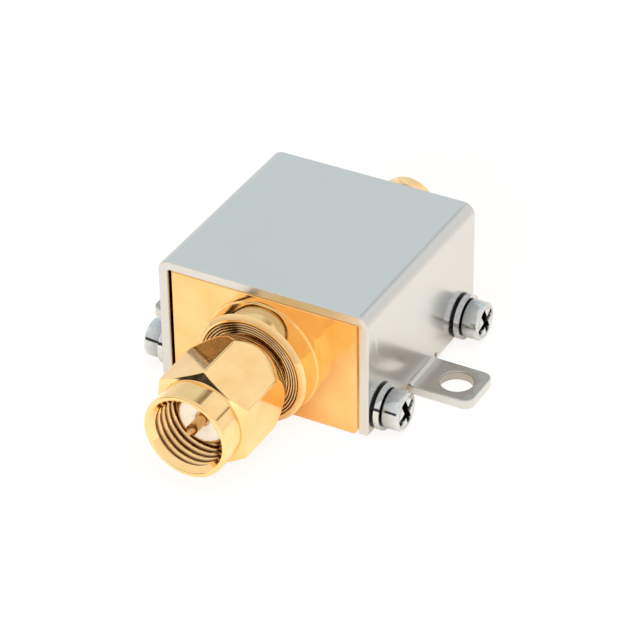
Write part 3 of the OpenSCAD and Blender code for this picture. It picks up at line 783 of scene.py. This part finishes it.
def build_cover():
    """The folded sheet with its two ears, its cut edges rounded as a press leaves them.

    It is laid out flat in millimetres, cut across where it bends, and folded.
    """
    hole_steps = 48
    fold_steps = 12
    cover = sizes("cover")
    folds = sheet_folds(cover)
    right, holes = sheet_outline(cover, folds)
    outline = [Vector(p) / MM for p in right]
    outline += [-p for p in outline]
    loops = [outline]
    for s, y, radius in holes:
        for side in SIDES.values():
            loops.append([
                Vector((side * s + radius * math.cos(a), y - radius * math.sin(a))) / MM
                for a in (math.tau * i / hole_steps for i in range(hole_steps))])
    built = flat_sheet(loops, cover.sheet / MM, cover.edge / MM)
    flat, wall, ear_fold, ear = folds
    for start, end in ((flat, wall), (ear_fold, ear)):
        for i in range(fold_steps + 1):
            for side in SIDES.values():
                cut = side * (start + (end - start) * i / fold_steps) / MM
                bmesh.ops.bisect_plane(
                    built, geom=built.verts[:] + built.edges[:] + built.faces[:], dist=1e-5,
                    plane_co=(cut, 0, 0), plane_no=(1, 0, 0))
    for vert in built.verts:
        s, y, rise = vert.co * MM
        vert.co = folded(s, y, rise, cover, folds)
    finish_piece("sheet_cover", built, nickel_sheet(), "cover")


def dress(node, material, edge_mm=0.0):
    """A finish on a solid that keeps its form, and perhaps narrow roundings for its edges to catch light."""
    piece = NODES[node]
    piece.data.materials.clear()
    piece.data.materials.append(material)
    if edge_mm:
        edges = piece.modifiers.new("Edges", "BEVEL")
        edges.width = edge_mm * MM
        edges.segments = 2
        edges.limit_method = "ANGLE"
        edges.angle_limit = math.radians(40)
        edges.harden_normals = True


def build_base():
    """The milled block keeps its solid, with softened edges and its plating."""
    dress("base", gold_milled(), 0.05)


def build_plug_body():
    """Pressed shank, ring, shoulder with turned rings on its face, neck and contact sleeve."""
    plug = sizes("plug")
    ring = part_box("nut_retaining_ring")
    groove_start = -ring[1].y - HALF_LENGTH - plug.ring_gap
    groove_end = -ring[0].y - HALF_LENGTH + plug.ring_gap
    groove = ring[1].x - plug.ring_depth - plug.ring_gap
    face_edge = plug.shoulder / 2 - plug.shoulder_bevel
    face = [(face_edge, plug.shoulder_length, 0.04 * MM)]
    radius = face_edge - plug.groove_pitch * 0.7
    while radius > plug.neck / 2 + plug.groove_pitch:
        face.append((radius, plug.shoulder_length, HAIR))
        face.append((radius - plug.groove_pitch / 2, plug.shoulder_length - plug.groove_depth, HAIR))
        radius -= plug.groove_pitch
    profile = rounded([
        (plug.bore / 2, -plug.shank_length), (plug.shank / 2, -plug.shank_length), (plug.shank / 2, 0),
        (plug.root_ring / 2, 0), (plug.root_ring / 2, plug.root_ring_length, 0.1 * MM),
        (plug.shoulder / 2, plug.root_ring_length, 0.03 * MM),
        (plug.shoulder / 2, plug.shoulder_length - plug.shoulder_bevel, 0.08 * MM),
        *face,
        (plug.neck / 2, plug.shoulder_length), (plug.neck / 2, groove_start), (groove, groove_start),
        (groove, groove_end), (plug.neck / 2, groove_end),
        (plug.neck / 2, plug.neck_end, 0.12 * MM), (plug.sleeve / 2, plug.neck_end),
        (plug.sleeve / 2, plug.plane, 0.07 * MM), (plug.bore / 2, plug.plane, 0.04 * MM)])

    # Painted shade down in the turned rings of the shoulder's face
    def ring_shade_at(radius, run):
        depth = plug.shoulder_length - run
        if depth < 1.1 * plug.groove_depth and radius < plug.shoulder / 2 - 0.9 * plug.shoulder_bevel:
            return RING_SHADE * depth / plug.groove_depth
        return 0

    turned_piece(
        "plug_shell", profile, end=-1, steps=256, material=gold_turned(), node="plug_body",
        groove_shade_at=ring_shade_at)


def build_nut():
    """Coupling nut: hexagon between cone and collar, with its right-hand thread and a rounded mouth."""
    nut = sizes("nut")
    front = nut.rear + nut.length
    collar = nut.collar / 2
    corner = nut.flats / 2 / math.cos(math.pi / 6) + 0.1 * MM
    hex_start = nut.rear + nut.rear_cone
    hex_end = front - nut.collar_length - nut.front_cone
    thread_end = front - nut.front_bore
    thread_start = thread_end - nut.thread_length
    lip_end = nut.rear + nut.rear_bore_length
    outside = (nut.mouth / 2 + collar) / 2
    thread_height = nut.root - nut.crest

    def shape(radius, run, angle):
        if radius > outside:
            turn = (angle - nut.clock) % (math.pi / 3) - math.pi / 6
            flat = nut.flats / 2 / math.cos(turn)
            next_flat = nut.flats / 2 / math.cos(math.pi / 3 - abs(turn))
            return soft_min(radius, soft_min(flat, next_flat, nut.edge), nut.edge), run
        if run > lip_end + 0.3 * MM:
            fading = clamp((front - nut.lead_in - run) / (0.5 * nut.pitch))
            groove = nut.crest + thread_height * thread_depth(run, angle, nut.pitch, -1) * fading
            return max(radius, groove / 2), run
        return radius, run

    # Painted shade down in the thread's grooves, with the crests left bright
    def groove_shade_at(radius, run):
        if thread_start < run < front - nut.lead_in and radius < outside:
            return NUT_THREAD_SHADE * ((2 * radius - nut.crest) / thread_height - NUT_CREST_SHARE)
        return 0

    profile = rounded([
        (nut.rear_bore / 2, nut.rear, 0.1 * MM), (collar, nut.rear, nut.lip),
        (corner, hex_start, 0.05 * MM), (corner, hex_end, 0.03 * MM),
        (collar, hex_end + nut.front_cone, 0.05 * MM), (collar, front, nut.lip),
        (nut.mouth / 2, front, nut.lip), (nut.crest / 2, front - nut.lead_in), (nut.crest / 2, thread_start),
        (nut.relief / 2, thread_start), (nut.relief / 2, lip_end), (nut.rear_bore / 2, lip_end)])
    profile = split_long(profile, thread_start - 0.1 * MM, front, nut.pitch / THREAD_STEPS)
    profile = split_long(profile, nut.rear + 0.8 * MM, hex_start + 0.1 * MM, 0.07 * MM)
    turned_piece(
        "nut_shell", profile, end=-1, steps=480, material=gold_turned(),
        node="coupling_nut", body=NUT_BODY, shape=shape, groove_shade_at=groove_shade_at)


def build_plug_contact():
    """Insulator and stepped pin of the plug."""
    plug = sizes("plug")
    rod = plug.bore / 2 - HAIR
    core = plug.core / 2 - HAIR
    insulator = rounded([
        (plug.core / 2, -plug.shank_length), (rod, -plug.shank_length), (rod, plug.plane, 0.03 * MM),
        (plug.core / 2, plug.plane, 0.03 * MM)])
    turned_piece(
        "plug_insulator_rod", insulator, end=-1, steps=128, material=fluoropolymer(),
        node="plug_insulator")
    tip = plug.plane + plug.pin_reach
    start = -plug.shank_length - plug.tail_length
    pin = rounded([
        (0, start), (plug.tail / 2, start, 0.05 * MM), (plug.tail / 2, -plug.shank_length),
        (core, -plug.shank_length), (core, plug.plane, 0.03 * MM),
        (plug.pin / 2, plug.plane), (plug.pin / 2, tip - plug.pin_cone, 0.15 * MM),
        (plug.pin_point / 2, tip, 0.08 * MM), (0, tip)])
    turned_piece(
        "plug_pin", pin, end=-1, steps=64, material=gold_contact(),
        node="plug_center_pin")


def build_jack():
    """Shoulder, threaded barrel and open mouth at the rear."""
    jack = sizes("jack")
    plug = sizes("plug")
    thread_start = jack.shoulder_length + jack.neck_length
    thread_end = jack.length - jack.nose_length
    bevel = (jack.thread - jack.nose) / 2
    first_bevel = 0.15 * MM
    thread_height = jack.thread - jack.root

    def shape(radius, run, angle):
        if radius > jack.nose / 2 and thread_start <= run <= thread_end:
            groove = jack.thread - thread_height * thread_depth(run, angle, jack.pitch, 1)
            return min(radius, groove / 2), run
        return radius, run

    # Painted shade down in the outer thread's grooves
    def groove_shade_at(radius, run):
        if thread_start < run < thread_end and radius > jack.nose / 2:
            return JACK_THREAD_SHADE * (jack.thread - 2 * radius) / thread_height
        return 0

    profile = rounded([
        (plug.bore / 2, -plug.shank_length), (plug.shank / 2, -plug.shank_length), (plug.shank / 2, 0),
        (jack.shoulder / 2, 0), (jack.shoulder / 2, jack.shoulder_length, 0.15 * MM),
        (jack.nose / 2, jack.shoulder_length), (jack.nose / 2, thread_start),
        (jack.thread / 2 - first_bevel, thread_start), (jack.thread / 2, thread_start + first_bevel),
        (jack.thread / 2, thread_end - bevel), (jack.nose / 2, thread_end),
        (jack.nose / 2, jack.length, 0.15 * MM), (jack.mouth / 2, jack.length, 0.08 * MM),
        (jack.mouth / 2, jack.plane), (plug.bore / 2, jack.plane)])
    profile = split_long(profile, thread_start, thread_end, jack.pitch / THREAD_STEPS)
    turned_piece(
        "jack_shell", profile, end=1, steps=192, material=gold_turned(), node="jack_body",
        shape=shape, groove_shade_at=groove_shade_at)


def recess_depth(along, across, screw):
    """Depth of a cross recess at a point of a screw's top, sloping to its middle."""
    along, across = max(abs(along), abs(across)), min(abs(along), abs(across))
    reach = screw.recess / 2
    if along >= reach:
        return 0.0
    slope = screw.recess_depth * clamp((1 - along / reach) / RECESS_SLOPE)
    return slope * clamp((screw.recess_width / 2 + RECESS_WALL / 2 - across) / RECESS_WALL)


def build_screw(node, side):
    """Pan head with a cross recess on a plain shank, on the left (-1) or right (1) side."""
    screw = sizes("screw")
    low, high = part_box(node)
    start, top = sorted((abs(low.x), abs(high.x)))
    seat = top - screw.head_height
    middle_y, middle_z = (low.y + high.y) / 2, (low.z + high.z) / 2

    def shape(radius, run, angle):
        if run < top - screw.head_round * 0.5:
            return radius, run
        along = radius * math.cos(angle - screw.clock)
        across = radius * math.sin(angle - screw.clock)
        return radius, run - recess_depth(along, across, screw)

    def crevice_shade_at(point):
        # Painted shade from 0.04 mm down in the recess, and round the seat up to 0.18 mm over it
        reach = abs(point.x)
        off_axis = math.hypot(point.y - middle_y, point.z - middle_z)
        if reach > seat and off_axis < screw.recess / 2 + 0.05 * MM:
            return (top - reach - 0.04 * MM) / (0.08 * MM)
        return (seat + 0.18 * MM - reach) / (0.05 * MM)

    crown = []
    crown_steps = 24
    crown_reach = screw.head / 2 * 0.78
    for i in range(crown_steps + 1):
        outwards = 1 - i / crown_steps
        crown.append((crown_reach * outwards, top - screw.crown * outwards ** 2))
    profile = rounded([
        (0, start), (screw.shank / 2, start, 0.1 * MM), (screw.shank / 2, seat),
        (screw.head / 2, seat, 0.16 * MM), (screw.head / 2, top - 0.08 * MM, screw.head_round), *crown])
    verts, faces = revolve(profile, 96, shape)
    placed = [(side * run, middle_y + x, middle_z + z) for x, run, z in verts]
    piece = add_piece(f"{node}_piece", placed, faces, nickel_bright(), node)
    mark_recess(piece, crevice_shade_at)


def build_screws():
    """One screw at each side and end."""
    for side_name, side in SIDES.items():
        for end_name in ENDS:
            build_screw(f"screw_{side_name}_{end_name}", side)


def build_washers():
    """The washers keep their solids, with softened edges and their finishes."""
    for side in SIDES:
        for end in ENDS:
            dress(f"lock_washer_{side}_{end}", nickel_bright(), 0.12)
            dress(f"flat_washer_{side}_{end}", near_black_steel(), 0.04)


def build_inside():
    """Finishes of the board, its coils, capacitors and joints, and of the hidden ring and contacts."""
    dress("nut_retaining_ring", spring_bronze(), 0.04)
    dress("jack_insulator", fluoropolymer())
    dress("jack_center_contact", gold_contact())
    dress("circuit_board", solder_mask())
    for place in ("input", "middle", "output", "input_series", "output_series"):
        dress(f"{place}_coil", enamelled_copper())
        dress(f"{place}_capacitor", capacitor_ceramic())
    for place in ("input", "output"):
        dress(f"{place}_solder_joint", solder())


# Studio

CAMERA_AZIMUTH = math.radians(28.85)
CAMERA_ELEVATION = math.radians(34.37)
CAMERA_ROLL = math.radians(-0.80)
CAMERA_DISTANCE = 253.70 * MM
CAMERA_SHIFT = (0.06 * MM, -2.42 * MM)
FOCAL_LENGTH_PIXELS = 3083.6
IMAGE_PIXELS = 640
SENSOR_WIDTH = 36.0
CAMERA_RANGE = (10 * MM, 10)
# What metal shows of the room: colours, directions, and the cosines or heights between which each place fades
WHITE = linear("#FFFFFF")
DARK_DIRECTION = (-0.45, -0.88, 0.05)
DARK_EDGE = (0.8, 0.92)
DARK_RISE = (0.2, 0.28)
DARK = linear("#303030")
CEILING_DIRECTION = (-0.45, 0.55, 0.7)
CEILING_EDGE = (0.7, 0.93)
CEILING = linear("#E7F3F8")
WINDOW_ANGLES = ((23, 26, 28, 31), (80, 83, 90, 104))
WINDOW_START = (0.62, 0.67)
WINDOW_END = (0.77, 0.82)
WINDOW_FRAME = linear("#95897C")
WORLD_LIGHT = 0.55
# Name, place and size in millimetres, and power in watts
LAMPS = (
    ("overhead_lamp", (70, -60, 300), 260, 0.4),
    ("front_lamp", (20, -290, 90), 240, 0.55))
FLOOR_REACH = 1.5
FLOOR_DROP = 0.01 * MM
FLOOR_LIFT_SEEN = 0.84
FLOOR_LIFT_MIRRORED = linear("#897C6F")


def build_camera():
    """Camera at the photograph's angle."""
    back = Vector((
        math.sin(CAMERA_AZIMUTH) * math.cos(CAMERA_ELEVATION),
        -math.cos(CAMERA_AZIMUTH) * math.cos(CAMERA_ELEVATION),
        math.sin(CAMERA_ELEVATION)))
    level_right = (-back).cross(Vector((0, 0, 1))).normalized()
    level_up = level_right.cross(-back)
    right = level_right * math.cos(CAMERA_ROLL) + level_up * math.sin(CAMERA_ROLL)
    up = level_up * math.cos(CAMERA_ROLL) - level_right * math.sin(CAMERA_ROLL)
    place = Vector((0, 0, CASE_HEIGHT / 2))
    place += back * CAMERA_DISTANCE + right * CAMERA_SHIFT[0] + up * CAMERA_SHIFT[1]
    data = bpy.data.cameras.new("studio_camera")
    data.sensor_width = SENSOR_WIDTH
    data.lens = FOCAL_LENGTH_PIXELS * SENSOR_WIDTH / IMAGE_PIXELS
    data.clip_start, data.clip_end = CAMERA_RANGE
    camera = bpy.data.objects.new("studio_camera", data)
    turned = Matrix((right, up, back)).transposed().to_4x4()
    camera.matrix_world = Matrix.Translation(place) @ turned
    bpy.context.scene.collection.objects.link(camera)
    bpy.context.scene.camera = camera


def seen_rays(tree):
    """1 for rays that see a surface or the world by sight, reflection or transmission, else 0."""
    path = add_node(tree, "LightPath").outputs
    first = add_node(
        tree, "Math", {0: path["Is Camera Ray"], 1: path["Is Glossy Ray"]}, operation="MAXIMUM")
    return add_node(tree, "Math", {0: first, 1: path["Is Transmission Ray"]}, operation="MAXIMUM")


def near_direction(tree, direction, middle, edge):
    """1 round a direction of the world and 0 away from it, between the two cosines of its edge."""
    facing = add_node(
        tree, "VectorMath", {0: direction, 1: Vector(middle).normalized()}, operation="DOT_PRODUCT")
    return add_node(tree, "MapRange", {"Value": facing, **between(*edge)})


def window_frame(tree, direction):
    """1 on the two sides of a bright window high at the part's right, else 0."""
    split = add_node(tree, "SeparateXYZ", {0: direction}).outputs
    turn = add_node(tree, "Math", {0: split["Z"], 1: split["X"]}, operation="ARCTAN2")
    near = add_node(tree, "MapRange", {"Value": split["Y"], **between(*WINDOW_START)})
    far = add_node(tree, "MapRange", {"Value": split["Y"], **between(*WINDOW_END), **FALLING})
    behind = add_node(tree, "Math", {0: near, 1: far}, operation="MULTIPLY")
    sides = []
    for angles in WINDOW_ANGLES:
        start, full, fading, end = (math.radians(a) for a in angles)
        rise = add_node(tree, "MapRange", {"Value": turn, **between(start, full)})
        fall = add_node(tree, "MapRange", {"Value": turn, **between(fading, end), **FALLING})
        sides.append(add_node(tree, "Math", {0: rise, 1: fall}, operation="MULTIPLY"))
    either = add_node(tree, "Math", {0: sides[0], 1: sides[1]}, operation="MAXIMUM")
    return add_node(tree, "Math", {0: either, 1: behind}, operation="MULTIPLY")


def reflected_room(tree):
    """What metal shows: white, a bluish ceiling, a window's frame at the right, a dark place low in front."""
    direction = add_node(tree, "TexCoord").outputs["Generated"]
    overhead = near_direction(tree, direction, CEILING_DIRECTION, CEILING_EDGE)
    ceiling = add_node(
        tree, "Mix", {FACTOR: overhead, FIRST: opaque(WHITE), SECOND: opaque(CEILING)}, data_type="RGBA")
    framed = add_node(
        tree, "Mix",
        {FACTOR: window_frame(tree, direction), FIRST: ceiling, SECOND: opaque(WINDOW_FRAME)},
        data_type="RGBA")
    ahead = near_direction(tree, direction, DARK_DIRECTION, DARK_EDGE)
    height = add_node(tree, "SeparateXYZ", {0: direction}).outputs["Z"]
    low = add_node(tree, "MapRange", {"Value": height, **between(*DARK_RISE), **FALLING})
    dark = add_node(tree, "Math", {0: ahead, 1: low}, operation="MULTIPLY")
    return add_node(tree, "Mix", {FACTOR: dark, FIRST: framed, SECOND: opaque(DARK)}, data_type="RGBA")


def build_world():
    """Pale studio: plain soft light and a white background, with the room only in reflections."""
    world = bpy.data.worlds.new("studio")
    bpy.context.scene.world = world
    tree = empty_tree(world)
    glossy = add_node(tree, "LightPath").outputs["Is Glossy Ray"]
    seen = add_node(
        tree, "Mix", {FACTOR: glossy, FIRST: opaque(WHITE), SECOND: reflected_room(tree)}, data_type="RGBA")
    sight = add_node(tree, "Background", {"Color": seen, "Strength": 1.0})
    light = add_node(tree, "Background", {"Color": opaque(WHITE), "Strength": WORLD_LIGHT})
    mixed = add_node(tree, "MixShader", {0: seen_rays(tree), 1: light, 2: sight})
    add_node(tree, "OutputWorld", {"Surface": mixed})


def build_lamps():
    """Large soft lamps: one overhead and one in front of the plug's mouth."""
    for name, place, size, power in LAMPS:
        data = bpy.data.lights.new(name, "AREA")
        data.shape = "DISK"
        data.size = size * MM
        data.energy = power
        lamp = bpy.data.objects.new(name, data)
        lamp.location = Vector(place) * MM
        lamp.rotation_euler = (-lamp.location).to_track_quat("-Z", "Y").to_euler()
        lamp.visible_glossy = False
        bpy.context.scene.collection.objects.link(lamp)


def white_paper():
    """Matt white paper: plain to the light, lifted to white for the eye and a little for reflections."""
    material = bpy.data.materials.new("matt_white_paper")
    tree = empty_tree(material)
    paper = add_node(tree, "BsdfDiffuse", {"Color": opaque(sizes("finish").floor)})
    white = add_node(tree, "Emission", {"Color": opaque(WHITE), "Strength": 1.0})
    glow = add_node(tree, "Emission", {"Color": opaque(FLOOR_LIFT_MIRRORED), "Strength": 1.0})
    lifted = add_node(tree, "AddShader", {0: paper, 1: glow})
    mirrored = add_node(tree, "MixShader", {0: seen_rays(tree), 1: paper, 2: lifted})
    camera_ray = add_node(tree, "LightPath").outputs["Is Camera Ray"]
    seen = add_node(tree, "MapRange", {"Value": camera_ray, "To Max": FLOOR_LIFT_SEEN})
    mixed = add_node(tree, "MixShader", {0: seen, 1: mirrored, 2: white})
    add_node(tree, "OutputMaterial", {"Surface": mixed})
    return material


def build_floor():
    """Pale paper under the part, with the part's soft shadow."""
    mesh = bpy.data.meshes.new("floor")
    corners = [(x * FLOOR_REACH, y * FLOOR_REACH, 0) for x, y in ((-1, -1), (1, -1), (1, 1), (-1, 1))]
    mesh.from_pydata(corners, [], [(0, 1, 2, 3)])
    mesh.materials.append(white_paper())
    floor = bpy.data.objects.new("floor", mesh)
    floor.location.z = -FLOOR_DROP
    bpy.context.scene.collection.objects.link(floor)


def build_studio():
    """Camera, world, lamps and floor."""
    build_camera()
    build_world()
    build_lamps()
    build_floor()
    bpy.context.scene.view_settings.view_transform = "Standard"


# Add-on

class FILTER_OT_cover(bpy.types.Operator):
    """Fold the sheet cover with its two ears"""
    bl_idname = "filter_parts.cover"
    bl_label = "Cover"

    def execute(self, context):
        build_cover()
        return {"FINISHED"}


class FILTER_OT_base(bpy.types.Operator):
    """Finish the gold-plated base"""
    bl_idname = "filter_parts.base"
    bl_label = "Base"

    def execute(self, context):
        build_base()
        return {"FINISHED"}


class FILTER_OT_plug_body(bpy.types.Operator):
    """Turn the plug's fixed body"""
    bl_idname = "filter_parts.plug_body"
    bl_label = "Plug Body"

    def execute(self, context):
        build_plug_body()
        return {"FINISHED"}


class FILTER_OT_coupling_nut(bpy.types.Operator):
    """Make the coupling nut with its thread"""
    bl_idname = "filter_parts.coupling_nut"
    bl_label = "Coupling Nut"

    def execute(self, context):
        build_nut()
        return {"FINISHED"}


class FILTER_OT_plug_contact(bpy.types.Operator):
    """Make the plug's insulator and pin"""
    bl_idname = "filter_parts.plug_contact"
    bl_label = "Insulator and Pin"

    def execute(self, context):
        build_plug_contact()
        return {"FINISHED"}


class FILTER_OT_jack(bpy.types.Operator):
    """Turn the jack with its thread"""
    bl_idname = "filter_parts.jack"
    bl_label = "Jack"

    def execute(self, context):
        build_jack()
        return {"FINISHED"}


class FILTER_OT_screws(bpy.types.Operator):
    """Make the four cross-recessed screws"""
    bl_idname = "filter_parts.screws"
    bl_label = "Screws"

    def execute(self, context):
        build_screws()
        return {"FINISHED"}


class FILTER_OT_washers(bpy.types.Operator):
    """Finish the spring washers and flat washers"""
    bl_idname = "filter_parts.washers"
    bl_label = "Washers"

    def execute(self, context):
        build_washers()
        return {"FINISHED"}


class FILTER_OT_inside(bpy.types.Operator):
    """Finish the board and the other pieces inside the case"""
    bl_idname = "filter_parts.inside"
    bl_label = "Inside"

    def execute(self, context):
        build_inside()
        return {"FINISHED"}


class FILTER_OT_studio(bpy.types.Operator):
    """Set up the floor, light and camera"""
    bl_idname = "filter_parts.studio"
    bl_label = "Studio"

    def execute(self, context):
        build_studio()
        return {"FINISHED"}


OPERATORS = (
    FILTER_OT_studio, FILTER_OT_cover, FILTER_OT_base, FILTER_OT_plug_body, FILTER_OT_coupling_nut,
    FILTER_OT_plug_contact, FILTER_OT_jack, FILTER_OT_screws, FILTER_OT_washers, FILTER_OT_inside)


class FILTER_PT_parts(bpy.types.Panel):
    """Lists the pieces, the stage and their settings"""
    bl_idname = "FILTER_PT_parts"
    bl_label = "In-line Filter"
    bl_space_type = "VIEW_3D"
    bl_region_type = "UI"
    bl_category = "Filter"

    def draw(self, context):
        for operator in OPERATORS:
            self.layout.operator(operator.bl_idname)
        for group in GROUPS:
            box = self.layout.box()
            settings = getattr(context.scene, group)
            box.label(text=group.replace("_", " ").capitalize())
            for name in settings.bl_rna.properties.keys():
                if name not in ("rna_type", "name"):
                    box.prop(settings, name)


def register():
    """Adds the settings, operators and panel to Blender."""
    for name, group in GROUPS.items():
        bpy.utils.register_class(group)
        setattr(bpy.types.Scene, name, bpy.props.PointerProperty(type=group))
    for added in (*OPERATORS, FILTER_PT_parts):
        bpy.utils.register_class(added)


def unregister():
    """Takes them out again."""
    for added in reversed((*OPERATORS, FILTER_PT_parts)):
        bpy.utils.unregister_class(added)
    for name, group in reversed(GROUPS.items()):
        delattr(bpy.types.Scene, name)
        bpy.utils.unregister_class(group)


def main():
    """Registers the add-on and builds the studio and the pieces in order."""
    register()
    bpy.ops.filter_parts.studio()
    bpy.ops.filter_parts.cover()
    bpy.ops.filter_parts.base()
    bpy.ops.filter_parts.plug_body()
    bpy.ops.filter_parts.coupling_nut()
    bpy.ops.filter_parts.plug_contact()
    bpy.ops.filter_parts.jack()
    bpy.ops.filter_parts.screws()
    bpy.ops.filter_parts.washers()
    bpy.ops.filter_parts.inside()


if __name__ == "__main__":
    main()
